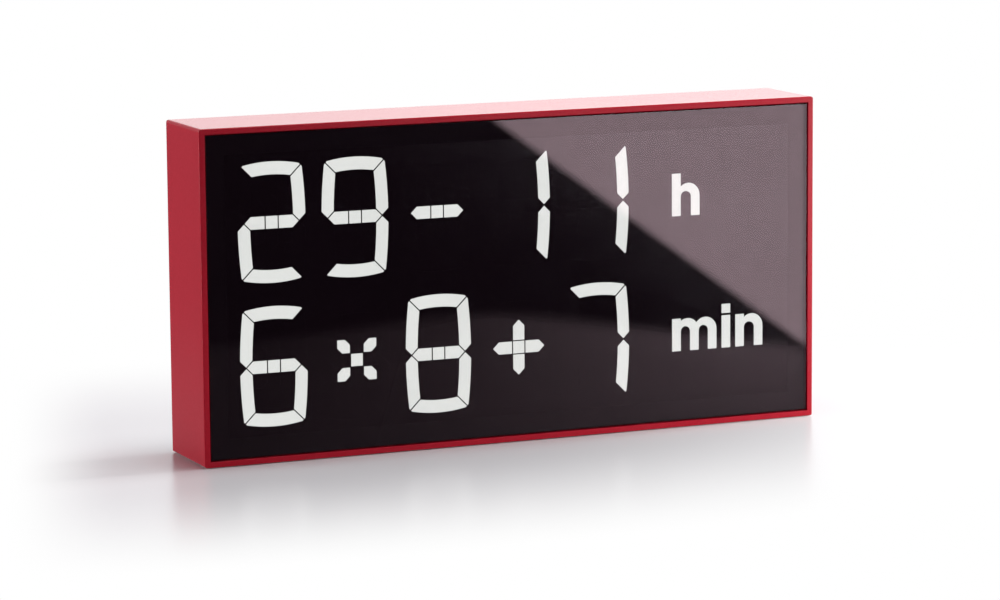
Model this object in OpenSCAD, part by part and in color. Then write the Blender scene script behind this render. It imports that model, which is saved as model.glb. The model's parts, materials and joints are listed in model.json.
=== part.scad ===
// Math clock: a flat red box that shows the time as two sums, one for the hours and one for the minutes.
// X runs to the right across the front, Y runs from the front to the back and Z runs up, in millimetres.
// The origin is in the middle of the footprint, on the surface that the clock stands on.

/* [Case] */
// Width of the case
case_w = 340; // [330:1:380]
// Height of the case without the pads under it
case_h = 169.7; // [168:0.1:190]
// Depth of the case from its front rim to its rear rim
case_d = 50; // [48:1:70]
// Thickness of the case walls, which show as the rim round the panel
case_wall = 3; // [2.5:0.1:4]
// Chamfer along the front and rear rims of the case
case_chamfer = 0.4; // [0.2:0.1:0.8]
// Radius of the four corners of the case, seen from the front
case_corner = 1.5; // [0.8:0.1:3]
// Width of the ledge inside the case that the panel is bonded to
ledge_w = 9; // [8.6:0.1:10]
// Thickness of that ledge
ledge_t = 2; // [1.5:0.1:3]
// Diameter of the posts that the rear cover is screwed to
post_d = 9; // [8:0.1:9.4]
// Distance of the inner posts from the middle of the case
post_x = 56; // [40:1:80]
// Diameter of the bosses that the light module is screwed to
boss_d = 5.6; // [5:0.1:6.4]
// Height of the side bosses above and below the middle of the case
boss_z = 35; // [20:1:50]

/* [Front panel] */
// Thickness of the smoked front panel
panel_t = 3; // [2:0.1:4]
// Gap between the panel and the case all round
panel_gap = 0.5; // [0.2:0.05:0.6]
// How far the panel lies behind the front rim
panel_recess = 0.3; // [0:0.1:1]
// Chamfer along the edges of the panel
panel_chamfer = 0.2; // [0.1:0.05:0.4]
// Thickness of the bonding tape and of the segment film inside it
film_t = 0.2; // [0.1:0.05:0.5]
// Gap between the light mask and the ledge round it
mask_gap = 1; // [0.5:0.1:2]
// Gap from the bonding tape to the edges of the ledge
tape_gap = 0.5; // [0.3:0.1:1]

/* [Display] */
// Sum in the hours row, with one sign for each of the five cells
hours_shown = "29-11"; // [29-11, 12-11, 36-13, 40-21]
// Sum in the minutes row, with one sign for each of the five cells
minutes_shown = "6x8+7"; // [6x8+7, 5x9+4, 7x7+2, 3x8+9]
// Room between the opening of the case and the first digit
digit_side = 8.2; // [6:0.1:12]
// Room between the opening of the case and the top and bottom of the digits
digit_top = 6.05; // [4:0.05:10]
// Gap between the two rows
row_gap = 11.6; // [8:0.1:14]
// Width of a digit
digit_w = 36; // [34:0.5:37]
// Width of the strokes of a digit
stroke_w = 6.6; // [6:0.1:7.2]
// Height of the middle bar of a digit
bar_h = 6.4; // [5.8:0.1:6.8]
// Dark line between two segments
segment_gap = 0.5; // [0.4:0.05:0.8]
// Radius of the bowed sides of a digit
side_bow_r = 230; // [180:5:400]
// Radius of its bowed top and bottom
top_bow_r = 71; // [64:1:120]
// How much the corners of a digit are cut back, measured along one side
corner_cut = 4.8; // [4:0.1:6]
// Corner cuts of the four arms of the times sign
arm_cut = 2.7; // [2:0.1:3]
// Extra room between those arms and the sides of a digit
arm_room = 0.3; // [0.3:0.05:0.6]

/* [Unit letters] */
// Room between the last cell and the letters, beyond the gap between two cells
letter_side = 16.1; // [12:0.1:20]
// Room between the letters and the opening of the case
letter_end = 16.4; // [12:0.1:20]
// Width of the stems of the letters
letter_stem = 5.2; // [4.6:0.1:5.6]
// Height of the low letters
letter_low = 17.2; // [16:0.1:19]
// Height of the tall letter
letter_tall = 22.3; // [20:0.1:26]
// Width of the letters h and n
letter_w = 16.1; // [15:0.1:17]
// Distance between the stems of the letter m
letter_m_pitch = 10.35; // [10:0.05:11]
// Radius of the arches of the letters
arch_r = 6.6; // [6:0.1:7]
// Thickness of the arches at their top
arch_t = 4.3; // [4:0.1:5]
// Gap between two letters
letter_gap = 2.8; // [2:0.1:4]
// Height of the dot of the letter i
dot_h = 4.9; // [4:0.1:6]
// Gap under that dot
dot_gap = 1.1; // [0.8:0.1:2]
// Drop from the middle of the hours row to the foot of its letter
hour_drop = 10.4; // [8:0.1:12]
// Drop from the middle of the minutes row to the foot of its letters
minute_drop = 8.8; // [8:0.1:12]

/* [Light module] */
// Depth of the light mask
mask_d = 9; // [8:0.5:12]
// How far the rim of the mask reaches behind the ledge
mask_rim = 6; // [5:0.1:7]
// Clearance of the mask and the boards round posts and bosses
post_gap = 0.5; // [0.3:0.1:0.8]
// Thickness of the segment lenses
lens_t = 2.5; // [2:0.1:4]
// Clearance of a lens in its well
lens_gap = 0.05; // [0.04:0.01:0.1]
// Thickness of both circuit boards
board_t = 1.6; // [1:0.1:2]
// Gap between the lamp board and the case walls
board_gap = 1; // [0.6:0.1:1.5]
// Side of a lamp chip
lamp_w = 2.8; // [2:0.1:3.2]
// Height of a lamp chip
lamp_h = 1.2; // [0.8:0.1:2]
// Length of a driver chip
driver_l = 15.4; // [12:0.1:20]
// Width of a driver chip
driver_w = 7.5; // [5:0.1:9]
// Height of a driver chip
driver_h = 2.4; // [1.5:0.1:3]
// Drop from the middle of the case to the row of driver chips
driver_drop = 26; // [22:1:34]

/* [Fasteners] */
// Shaft diameter of the cover screws
cover_screw_d = 3; // [2.5:0.1:3.5]
// Head diameter of the cover screws
cover_head_d = 5.6; // [5:0.1:6.4]
// Head height of the cover screws
cover_head_h = 2; // [1.6:0.1:2.4]
// Length of the cover screws under the head
cover_screw_l = 12; // [8:0.5:16]
// Shaft diameter of the screws of both circuit boards
board_screw_d = 2.5; // [2:0.1:3]
// Head diameter of the board screws
board_head_d = 4.6; // [4:0.1:5]
// Head height of the board screws
board_head_h = 1.6; // [1.4:0.1:2]
// Length of the board screws under the head
board_screw_l = 6.5; // [5:0.1:7.5]
// Clearance round the shaft of a screw
screw_gap = 0.1; // [0.05:0.05:0.2]
// Room left under the tip of a screw
screw_room = 0.8; // [0.4:0.1:1.5]
// Width of the cross cut in a screw head
cross_w = 0.9; // [0.6:0.1:1.1]
// Depth of that cross
cross_d = 1; // [0.5:0.1:1.3]
// Metal left round the ends of that cross
cross_rim = 0.9; // [0.6:0.1:1.2]

/* [Rear cover] */
// Thickness of the rear cover
cover_t = 2.5; // [2:0.1:4]
// How far the cover lies inside the rear rim
cover_recess = 5; // [4.6:0.1:7]
// Gap between the cover and the case all round
cover_gap = 0.3; // [0.2:0.05:0.6]
// Height of the standoffs that carry the controller board
standoff_h = 9.5; // [9:0.1:12]
// Diameter of the standoffs
standoff_d = 6; // [5:0.1:7]
// Distance from the standoffs to the edges of the controller board
standoff_in = 5; // [4:0.1:6]
// Number of vent slots in each group
vent_count = 9; // [5:1:10]
// Width of a vent slot
vent_w = 2; // [1.5:0.1:3]
// Length of a vent slot
vent_l = 30; // [20:1:40]
// Distance from one vent slot to the next
vent_pitch = 5; // [4:0.1:5.4]
// Distance of each group of vents from the middle of the cover
vent_x = 115; // [100:1:130]
// Height of the middle of the vents above the foot of the case
vent_z = 60; // [50:1:70]

/* [Wall hanging] */
// Distance between the two keyholes
keyhole_spacing = 200; // [180:1:220]
// Height of the hanging point above the foot of the case
keyhole_z = 130; // [122:1:136]
// Diameter of the hole for the screw head
keyhole_head_d = 9; // [8:0.1:10]
// Width of the slot for the screw shank
keyhole_slot_w = 4.5; // [4.2:0.1:5]
// Distance from the middle of the hole to the top of the slot's run
keyhole_slot_l = 9; // [8:0.1:12]
// Depth of the pocket behind a keyhole
pocket_d = 6; // [5:0.1:8]
// Side room in that pocket
pocket_room = 1; // [0.5:0.1:2]
// Wall of that pocket
pocket_wall = 1.5; // [1.2:0.1:2]

/* [Power inlet] */
// Width of the well that the power plug goes into
well_w = 40; // [30:1:60]
// Height of that well
well_h = 26; // [24:1:34]
// Depth of the well behind the outer face of the cover
well_d = 15; // [14:0.5:18]
// Wall of the well
well_wall = 2; // [1.5:0.1:2.5]
// Height of the well above the foot of the case
well_z = 40; // [34:1:44]
// Width of the power socket
socket_w = 9; // [8.6:0.1:10]
// Thickness of the power socket
socket_t = 3.2; // [3:0.1:3.6]
// Length of the power socket
socket_l = 7.4; // [7:0.1:9]
// Wall of the socket's metal shell
socket_shell = 0.3; // [0.2:0.05:0.4]
// Depth of the mouth of the socket
socket_mouth = 6.2; // [5:0.1:6.8]
// Width of the tongue in the socket
tongue_w = 6.7; // [6:0.1:7]
// Thickness of the tongue
tongue_t = 0.7; // [0.6:0.05:0.8]
// Length of the tongue
tongue_l = 4.6; // [4:0.1:5]
// Clearance of the socket in the wall of the well
socket_gap = 0.3; // [0.2:0.05:0.5]
// Width of the notch in the bottom rear edge that the lead leaves by
notch_w = 10; // [8:0.5:14]
// Depth of that notch
notch_d = 6; // [5:0.5:8]

/* [Controller board] */
// Width of the controller board
control_w = 120; // [110:1:140]
// Height of the controller board
control_h = 46; // [44:1:50]
// Gap between the controller board and the well under it
control_gap = 0.5; // [0.3:0.1:1]
// Drop from the middle of the controller board to its row of parts
chip_drop = 3; // [2:0.5:6]
// Side of the processor
processor_w = 10; // [7:0.5:14]
// Height of the processor
processor_h = 1.4; // [1:0.1:2]
// Distance of the processor to the left of the middle
processor_x = 18; // [16:0.5:20]
// Diameter of the watch crystal
crystal_d = 2.2; // [2:0.1:3]
// Length of the watch crystal
crystal_l = 6.2; // [6:0.1:8]
// Distance of the crystal to the left of the middle
crystal_x = 32; // [28:0.5:36]
// Diameter of the backup cell
cell_d = 20; // [16:0.5:24]
// Thickness of the backup cell
cell_t = 3.2; // [1.6:0.1:4]
// Clearance of the backup cell in its holder
cell_gap = 0.2; // [0.1:0.05:0.4]
// Wall and floor of the cell holder
holder_wall = 1.4; // [1:0.1:2]
// Distance of the cell holder to the right of the middle
holder_x = 12; // [8:0.5:16]
// Diameter of a supply capacitor
capacitor_d = 8; // [6:0.5:10]
// Height of a supply capacitor
capacitor_h = 7; // [5:0.5:9]
// Distance of the capacitors to the left of the middle
capacitor_x = 46; // [42:0.5:48]
// Gap between the two capacitors
capacitor_gap = 8; // [4:0.5:12]
// Width of the ribbon cable
ribbon_w = 20; // [16:0.5:22]
// Thickness of the ribbon cable
ribbon_t = 0.9; // [0.6:0.1:1.2]
// Straight run of the ribbon cable beside its connectors
ribbon_run = 12; // [6:0.5:20]
// Width of a ribbon connector
connector_w = 8; // [6:0.1:10]
// Height of a ribbon connector
connector_h = 6; // [5:0.1:6.5]
// Distance of the connectors to the right of the middle
connector_x = 36; // [32:0.5:44]
// Length of connector beyond each side of the ribbon
connector_over = 2; // [1:0.1:3]
// Distance from the ribbon to the top of its connector
ribbon_seat = 1.5; // [1:0.1:2]

/* [Buttons] */
// Diameter of a button cap
button_d = 8; // [7:0.1:9]
// Distance from one button to the next
button_pitch = 30; // [24:0.5:30]
// How far a button stands out of the cover
button_out = 3; // [2:0.1:4]
// How far a button can be pressed
button_travel = 0.8; // [0.5:0.05:1]
// Gap round a button cap
button_gap = 0.25; // [0.2:0.05:0.4]
// Width of the collar that keeps the cap in the cover
collar_w = 1.2; // [0.8:0.1:1.6]
// Thickness of that collar
collar_t = 1; // [0.8:0.1:1.6]
// Gap between the collar and the cover at rest
collar_gap = 0.1; // [0.05:0.05:0.2]
// Rounding of the rim of a cap
button_round = 0.8; // [0.4:0.1:1.2]
// Diameter of the stem behind a cap
stem_d = 4; // [3:0.1:5]
// Distance of the buttons below the top of the controller board
button_drop = 12; // [11:0.1:14]
// Side of a switch body
switch_w = 6; // [5:0.1:7]
// Height of a switch body
switch_h = 3.5; // [3.3:0.1:4]
// Diameter of a switch plunger
plunger_d = 3.2; // [2.6:0.1:3.6]
// How far a plunger stands out of its switch
plunger_out = 1.6; // [1.3:0.1:2]
// How far it reaches into its switch
plunger_in = 1.2; // [0.8:0.1:1.4]
// Clearance of a plunger in its switch
plunger_gap = 0.15; // [0.1:0.05:0.2]

/* [Pads] */
// Diameter of a pad under the case
pad_d = 10; // [8:0.5:14]
// Thickness of a pad
pad_t = 1.2; // [0.8:0.1:1.6]
// How far a pad stands out of the case
pad_out = 0.3; // [0.2:0.1:0.6]
// Clearance of a pad in its pocket
pad_gap = 0.1; // [0.05:0.05:0.2]
// Distance of the pads from the sides of the case
pad_in_x = 30; // [20:1:60]
// Distance of the pads from the front and rear of the case
pad_in_y = 10; // [9:0.5:14]

/* [Hidden] */
$fn = 48;
// Depth by which a cut runs past a face, and by which joined shapes reach into each other
past = 1;
sunk = 0.5;
// Straight steps that stand for a curve of an outline
bow_steps = 4;
arch_steps = 12;
end_steps = 8;
corner_steps = 6;

front_y = -case_d / 2;
rear_y = case_d / 2;
mid_z = pad_out + case_h / 2;
inner_w = case_w - 2 * case_wall;
inner_h = case_h - 2 * case_wall;
open_w = inner_w - 2 * ledge_w;
open_h = inner_h - 2 * ledge_w;

// The stack behind the front rim
panel_y = front_y + panel_recess;
film_y = panel_y + panel_t;
ledge_y = film_y + film_t;
ledge_back_y = ledge_y + ledge_t;
lamp_y = ledge_y + mask_d;
lamp_back_y = lamp_y + board_t;
mask_w = open_w - 2 * mask_gap;
mask_h = open_h - 2 * mask_gap;

// The stack in front of the rear rim
cover_y = rear_y - cover_recess;
cover_in_y = cover_y - cover_t;
control_y = cover_in_y - standoff_h;
control_front_y = control_y - board_t;
well_floor_y = cover_y - well_d;
switch_y = control_y + switch_h;
plunger_y = switch_y + plunger_out;
collar_y = cover_in_y - collar_gap;

well_low = pad_out + well_z;
well_high = well_low + well_h;
control_low = well_high + well_wall + control_gap;
control_high = control_low + control_h;
button_z = control_high - button_drop;
button_x = [for (i = [-1.5:1.5]) i * button_pitch];
hang_z = pad_out + keyhole_z;
entry_z = hang_z - keyhole_slot_l;

// Places on the faces, as x and z
post_edge = case_wall + post_d / 2 - sunk;
post_places = [
    for (x = [case_w / 2 - post_edge, post_x])
        for (side = [-1, 1])
            for (end = [-1, 1])
                [side * x, mid_z + end * (case_h / 2 - post_edge)]
];
boss_edge = case_wall + ledge_w / 2;
boss_places = concat(
    [for (end = [-1, 1]) [0, mid_z + end * (case_h / 2 - boss_edge)]],
    [for (side = [-1, 1]) for (end = [-1, 1]) [side * (case_w / 2 - boss_edge), mid_z + end * boss_z]]
);
standoff_places = [
    for (side = [-1, 1])
        for (z = [control_low + standoff_in, control_high - standoff_in])
            [side * (control_w / 2 - standoff_in), z]
];
pad_places = [
    for (side = [-1, 1])
        for (end = [-1, 1])
            [side * (case_w / 2 - pad_in_x), end * (case_d / 2 - pad_in_y)]
];

chip_z = (control_low + control_high) / 2 - chip_drop;
cover_screw = [cover_screw_d, cover_head_d, cover_head_h, cover_screw_l];
board_screw = [board_screw_d, board_head_d, board_head_h, board_screw_l];

// Letters, in x from the first stem
letter_i_x = 2 * letter_m_pitch + letter_stem + letter_gap;
letter_n_x = letter_i_x + letter_stem + letter_gap;
letters_w = letter_n_x + letter_w;

// Cells, which spread over the room that the opening leaves beside the letters, in rows that fill its height
CELLS = 5;
cells_w = open_w - digit_side - letter_side - letters_w - letter_end;
cell_pitch = cells_w / CELLS;
digit_h = (open_h - 2 * digit_top - row_gap) / 2;
row_pitch = digit_h + row_gap;

// Lines at 45 degrees divide the ring of a digit, and the bar ends on the same lines
half_w = digit_w / 2;
half_h = digit_h / 2;
half_bar = bar_h / 2;
node_x = (digit_w - stroke_w) / 2;
miter_rise = half_h - half_w;
corner_sum = half_w + half_h - corner_cut;
arm_low = half_bar + segment_gap;
arm_high = half_w - stroke_w - segment_gap - arm_room;

SEGMENTS = "abcdefghijklmno";
BUTTONS = ["hour", "minute", "level", "brightness"];

// Colours
red = "#b5202f";
smoke = "#17131a";
black = "#1c1c1e";
ink = "#101012";
white = "#f2f3ee";
unlit = "#26242a";
board_green = "#1f5d3a";
chip_grey = "#2b2b2f";
steel = "#b9bcc0";
rubber = "#3a3a3c";

// Shapes that the parts share

// A box from a low to a high value along each axis
module block(x, y, z) {
    translate([x[0], y[0], z[0]])
        cube([x[1] - x[0], y[1] - y[0], z[1] - z[0]]);
}

// An outline drawn in x and z, made solid from y0 to y1
module along_y(y0, y1) {
    translate([0, y1, 0])
        rotate([90, 0, 0])
            linear_extrude(y1 - y0)
                children();
}

// A rectangle round the middle of the case, in x and z
module sheet(w, h) {
    translate([0, mid_z])
        square([w, h], center = true);
}

// A rod along Y at a place in x and z
module rod(d, y0, y1, at) {
    translate([at[0], y0, at[1]])
        rotate([-90, 0, 0])
            cylinder(d = d, h = y1 - y0);
}

// A rectangle with its corners cut
function cut_rectangle(w, h, cut) = [
    [w / 2 - cut, -h / 2], [w / 2, -h / 2 + cut], [w / 2, h / 2 - cut], [w / 2 - cut, h / 2],
    [-w / 2 + cut, h / 2], [-w / 2, h / 2 - cut], [-w / 2, -h / 2 + cut], [-w / 2 + cut, -h / 2]
];

// A rectangle with round corners
function round_rectangle(w, h, r) = [
    for (quarter = [0:3])
        for (i = [0:corner_steps])
            let (
                turn = 90 * (quarter + i / corner_steps),
                x_side = quarter == 0 || quarter == 3 ? 1 : -1,
                z_side = quarter < 2 ? 1 : -1
            )
                [x_side * (w / 2 - r) + r * cos(turn), z_side * (h / 2 - r) + r * sin(turn)]
];

// A slot with round ends, which lies along its longer side w
function slot_outline(w, h) = [
    for (end = [0, 1])
        for (i = [0:end_steps])
            let (turn = 180 * (i / end_steps + end) - 90, side = end == 0 ? 1 : -1)
                [side * (w - h) / 2 + h / 2 * cos(turn), h / 2 * sin(turn)]
];

// A box round the origin with a chamfer along its front and rear edges, and with an outline in x and z
module chamfered_block(w, d, h, cut, outline) {
    intersection() {
        translate([0, 0, -h / 2])
            linear_extrude(h)
                polygon(cut_rectangle(w, d, cut));
        translate([0, d / 2, 0])
            rotate([90, 0, 0])
                linear_extrude(d)
                    polygon(outline);
        translate([-w / 2, 0, 0])
            rotate([90, 0, 90])
                linear_extrude(w)
                    polygon(cut_rectangle(d, h, cut));
    }
}

// A cross-head screw with its head's underside at the origin and its head towards +Z
module screw(size) {
    cross_l = size[1] - 2 * cross_rim;
    translate([0, 0, -size[3]])
        cylinder(d = size[0], h = size[3] + sunk);
    difference() {
        cylinder(d = size[1], h = size[2]);
        for (turn = [0, 90])
            rotate(turn)
                translate([-cross_l / 2, -cross_w / 2, size[2] - cross_d])
                    cube([cross_l, cross_w, cross_d + past]);
    }
}

// Screws at places in x and z with the underside of their heads at y, and their heads to the rear or front
module screws(size, places, y, to_rear) {
    for (at = places)
        translate([at[0], y, at[1]])
            rotate([to_rear ? -90 : 90, 0, 0])
                screw(size);
}

// Holes for such screws, from past the underside of the head to past the tip
module screw_holes(size, places, y, to_rear) {
    reach = size[3] + screw_room;
    for (at = places)
        rod(size[0] + 2 * screw_gap, to_rear ? y - reach : y - past, to_rear ? y + past : y + reach, at);
}

// Segment outlines, in x and z from the middle of a cell. An inset draws in every edge by that much.

// Drop of an arc of radius r at a distance from its top
function bow(r, away) = r - sqrt(r * r - away * away);

// Where a line at 45 degrees through c meets an arc of radius r round e
function meet(c, e, r, rising) = rising * (sqrt(2 * r * r - (c - e) * (c - e)) - (c - e)) / 2;

// Half of the dark line, measured along an axis, with the inset
function half_line(inset) = (segment_gap / 2 + inset) * sqrt(2);

function flipped(points, x, z) = [for (p = points) [x * p[0], z * p[1]]];

// The upper right stroke
function side_stroke(inset) =
    let (
        line = half_line(inset),
        e = half_w - side_bow_r,
        outer = side_bow_r - inset,
        inner = side_bow_r - stroke_w + inset,
        cut = corner_sum - inset * sqrt(2),
        z_low = meet(node_x - line, e, outer, 1),
        z_cut = meet(cut, e, outer, -1),
        z_corner = (cut + miter_rise - line) / 2,
        z_high = meet(line - miter_rise, e, inner, 1),
        z_in = meet(node_x + line, e, inner, -1)
    )
    concat(
        [[node_x, line]],
        [for (i = [0:bow_steps]) let (z = z_low + (z_cut - z_low) * i / bow_steps)
            [e + outer - bow(outer, z), z]],
        [[cut - z_corner, z_corner]],
        [for (i = [0:bow_steps]) let (z = z_high + (z_in - z_high) * i / bow_steps)
            [e + inner - bow(inner, z), z]]
    );

// The top stroke
function top_stroke(inset) =
    let (
        line = half_line(inset),
        e = half_h - top_bow_r,
        outer = top_bow_r - inset,
        inner = top_bow_r - stroke_w + inset,
        cut = corner_sum - inset * sqrt(2),
        x_in = meet(miter_rise + line, e, inner, 1),
        x_corner = (cut - miter_rise - line) / 2,
        x_cut = meet(cut, e, outer, -1)
    )
    concat(
        [[x_corner, cut - x_corner]],
        [for (i = [0:2 * bow_steps]) let (x = x_cut * (1 - i / bow_steps))
            [x, e + outer - bow(outer, x)]],
        [[-x_corner, cut - x_corner]],
        [for (i = [0:2 * bow_steps]) let (x = x_in * (i / bow_steps - 1))
            [x, e + inner - bow(inner, x)]]
    );

// The right half of the middle bar
function bar_half(inset) =
    let (
        high = half_bar - inset,
        tip = node_x - half_line(inset),
        start = half_bar + segment_gap + inset
    )
    [[start, -high], [tip - high, -high], [tip, 0], [tip - high, high], [start, high]];

// The upper right arm of the times sign
function arm(inset) =
    let (
        low = arm_low + inset,
        high = arm_high - inset,
        cut = arm_cut + inset * (sqrt(2) - 2)
    )
    [
        [low, low], [high - cut, low], [high, low + cut],
        [high, high], [low + cut, high], [low, high - cut]
    ];

function turned(points) = [for (p = points) [p[1], p[0]]];

function core(inset) = let (h = half_bar - inset) [[-h, -h], [h, -h], [h, h], [-h, h]];

function segment_outline(s, inset) =
    s == "a" ? top_stroke(inset) :
    s == "b" ? side_stroke(inset) :
    s == "c" ? flipped(side_stroke(inset), 1, -1) :
    s == "d" ? flipped(top_stroke(inset), 1, -1) :
    s == "e" ? flipped(side_stroke(inset), -1, -1) :
    s == "f" ? flipped(side_stroke(inset), -1, 1) :
    s == "g" ? flipped(bar_half(inset), -1, 1) :
    s == "h" ? core(inset) :
    s == "i" ? bar_half(inset) :
    s == "j" ? turned(bar_half(inset)) :
    s == "k" ? flipped(turned(bar_half(inset)), 1, -1) :
    s == "l" ? arm(inset) :
    s == "m" ? flipped(arm(inset), 1, -1) :
    s == "n" ? flipped(arm(inset), -1, -1) :
    flipped(arm(inset), -1, 1);

// The segments that light up for a sign
function lit_for(sign) =
    sign == "0" ? "abcdef" :
    sign == "1" ? "bc" :
    sign == "2" ? "abdeghi" :
    sign == "3" ? "abcdghi" :
    sign == "4" ? "bcfghi" :
    sign == "5" ? "acdfghi" :
    sign == "6" ? "acdefghi" :
    sign == "7" ? "abc" :
    sign == "8" ? "abcdefghi" :
    sign == "9" ? "abcdfghi" :
    sign == "-" ? "ghi" :
    sign == "+" ? "ghijk" :
    sign == "x" ? "hlmno" :
    "";

function is_lit(s, sign) = len(search(s, lit_for(sign))) > 0;

// The lamp of a segment, in x and z from the middle of the cell
function lamp_at(s) =
    let (
        side = [node_x - bow(side_bow_r, half_h / 2), half_h / 2],
        top = [0, half_h - stroke_w / 2],
        bar = [(half_bar + segment_gap + node_x) / 2, 0],
        diagonal = [(arm_low + arm_high) / 2, (arm_low + arm_high) / 2]
    )
    s == "a" ? top :
    s == "b" ? side :
    s == "c" ? [side[0], -side[1]] :
    s == "d" ? -top :
    s == "e" ? -side :
    s == "f" ? [-side[0], side[1]] :
    s == "g" ? -bar :
    s == "h" ? [0, 0] :
    s == "i" ? bar :
    s == "j" ? [0, bar[0]] :
    s == "k" ? [0, -bar[0]] :
    s == "l" ? diagonal :
    s == "m" ? [diagonal[0], -diagonal[1]] :
    s == "n" ? -diagonal :
    [-diagonal[0], diagonal[1]];

// The middle of a cell in x and z, with the hours in row 0 and the minutes in row 1
function row_z(row) = mid_z + row_pitch * (0.5 - row);
function cell_at(row, col) = [digit_side + half_w - open_w / 2 + col * cell_pitch, row_z(row)];
function letters_at(row) = [
    open_w / 2 - letter_end - letters_w,
    row_z(row) - (row == 0 ? hour_drop : minute_drop)
];

// An arch of a letter with its right stem, which joins a stem of the same width at x from 0
function arch_outline(w, inset) =
    let (
        outer = arch_r - inset,
        mid = [w - arch_r, letter_low - arch_r],
        inner = (w - 2 * letter_stem) / 2 + inset,
        spring = letter_low - arch_t - (w - 2 * letter_stem) / 2
    )
    concat(
        [[w - inset, inset]],
        [for (i = [0:arch_steps]) let (turn = 180 * i / arch_steps) mid + outer * [cos(turn), sin(turn)]],
        [[mid[0] - outer, spring]],
        [for (i = [0:arch_steps]) let (turn = 180 * (1 - i / arch_steps))
            [w / 2 + inner * cos(turn), spring + inner * sin(turn)]],
        [[w - letter_stem + inset, inset]]
    );

module letter_bar(x, z, h, inset) {
    translate([x + inset, z + inset])
        square([letter_stem - 2 * inset, h - 2 * inset]);
}

module letter_h(inset) {
    letter_bar(0, 0, letter_tall, inset);
    polygon(arch_outline(letter_w, inset));
}

module letter_m(inset) {
    letter_bar(0, 0, letter_low, inset);
    for (i = [0, 1])
        translate([i * letter_m_pitch, 0])
            polygon(arch_outline(letter_m_pitch + letter_stem, inset));
}

module letter_i(inset) {
    letter_bar(0, 0, letter_low, inset);
    letter_bar(0, letter_low + dot_gap, dot_h, inset);
}

module letter_n(inset) {
    letter_bar(0, 0, letter_low, inset);
    polygon(arch_outline(letter_w, inset));
}

module hour_outline(inset) {
    translate(letters_at(0))
        letter_h(inset);
}

module minute_outline(inset) {
    translate(letters_at(1)) {
        letter_m(inset);
        translate([letter_i_x, 0])
            letter_i(inset);
        translate([letter_n_x, 0])
            letter_n(inset);
    }
}

// Lamps behind the letters, in x and z from the foot of the first stem
hour_lamps = [
    [letter_stem / 2, letter_tall / 2],
    [letter_w - letter_stem / 2, letter_low / 3]
];
minute_lamps = concat(
    [for (i = [0:2]) [letter_stem / 2 + i * letter_m_pitch, letter_low / 3]],
    [for (z = [letter_low / 3, letter_low + dot_gap + dot_h / 2]) [letter_i_x + letter_stem / 2, z]],
    [for (x = [letter_stem / 2, letter_w - letter_stem / 2]) [letter_n_x + x, letter_low / 3]]
);

// Every window of the display, as one set of outlines
module windows(inset) {
    for (row = [0, 1])
        for (col = [0:CELLS - 1])
            translate(cell_at(row, col))
                for (s = SEGMENTS)
                    polygon(segment_outline(s, inset));
    hour_outline(inset);
    minute_outline(inset);
}

// Case and front

module case_frame() {
    color(red)
        difference() {
            union() {
                difference() {
                    translate([0, 0, mid_z])
                        chamfered_block(
                            case_w, case_d, case_h, case_chamfer, round_rectangle(case_w, case_h, case_corner)
                        );
                    along_y(front_y - past, ledge_y)
                        sheet(inner_w, inner_h);
                    along_y(ledge_y - past, ledge_back_y + past)
                        sheet(open_w, open_h);
                    along_y(ledge_back_y, rear_y + past)
                        sheet(inner_w, inner_h);
                }
                for (at = post_places)
                    rod(post_d, ledge_back_y - sunk, cover_in_y, at);
                for (at = boss_places)
                    rod(boss_d, ledge_back_y - sunk, lamp_y, at);
            }
            screw_holes(cover_screw, post_places, cover_y, true);
            screw_holes(board_screw, boss_places, lamp_back_y, true);
            for (at = pad_places)
                translate([at[0], at[1], 0])
                    cylinder(d = pad_d + 2 * pad_gap, h = pad_t);
            translate([0, rear_y, 0])
                linear_extrude(pad_out + case_wall + past)
                    rotate(90)
                        polygon(slot_outline(2 * notch_d, notch_w));
        }
}

module front_panel() {
    w = inner_w - 2 * panel_gap;
    h = inner_h - 2 * panel_gap;
    color(smoke)
        translate([0, panel_y + panel_t / 2, mid_z])
            chamfered_block(w, panel_t, h, panel_chamfer, cut_rectangle(w, h, panel_chamfer));
}

module panel_tape() {
    trim = 2 * (panel_gap + tape_gap);
    color(ink)
        along_y(film_y, ledge_y)
            difference() {
                sheet(inner_w - trim, inner_h - trim);
                sheet(open_w + 2 * tape_gap, open_h + 2 * tape_gap);
            }
}

// Light module

module segment_film() {
    color(ink)
        difference() {
            along_y(film_y, ledge_y)
                sheet(mask_w, mask_h);
            along_y(film_y - past, ledge_y + past)
                windows(0);
        }
}

module light_mask() {
    color(black)
        difference() {
            union() {
                along_y(ledge_y, lamp_y)
                    sheet(mask_w, mask_h);
                along_y(ledge_back_y, lamp_y)
                    sheet(open_w + 2 * mask_rim, open_h + 2 * mask_rim);
            }
            along_y(ledge_y - past, lamp_y + past)
                windows(0);
            for (at = post_places)
                rod(post_d + 2 * post_gap, ledge_y, lamp_y + past, at);
            for (at = boss_places)
                rod(boss_d + 2 * post_gap, ledge_y, lamp_y + past, at);
        }
}

// The lenses of one cell that are lit
module lit_cell(shown, row, col) {
    color(white)
        along_y(ledge_y, ledge_y + lens_t)
            translate(cell_at(row, col))
                for (s = lit_for(shown[col]))
                    polygon(segment_outline(s, lens_gap));
}

// The lenses of one row that are dark
module unlit_lenses(shown, row) {
    color(unlit)
        along_y(ledge_y, ledge_y + lens_t)
            for (col = [0:CELLS - 1])
                translate(cell_at(row, col))
                    for (s = SEGMENTS)
                        if (!is_lit(s, shown[col]))
                            polygon(segment_outline(s, lens_gap));
}

module hour_letter() {
    color(white)
        along_y(ledge_y, ledge_y + lens_t)
            hour_outline(lens_gap);
}

module minute_letters() {
    color(white)
        along_y(ledge_y, ledge_y + lens_t)
            minute_outline(lens_gap);
}

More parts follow.
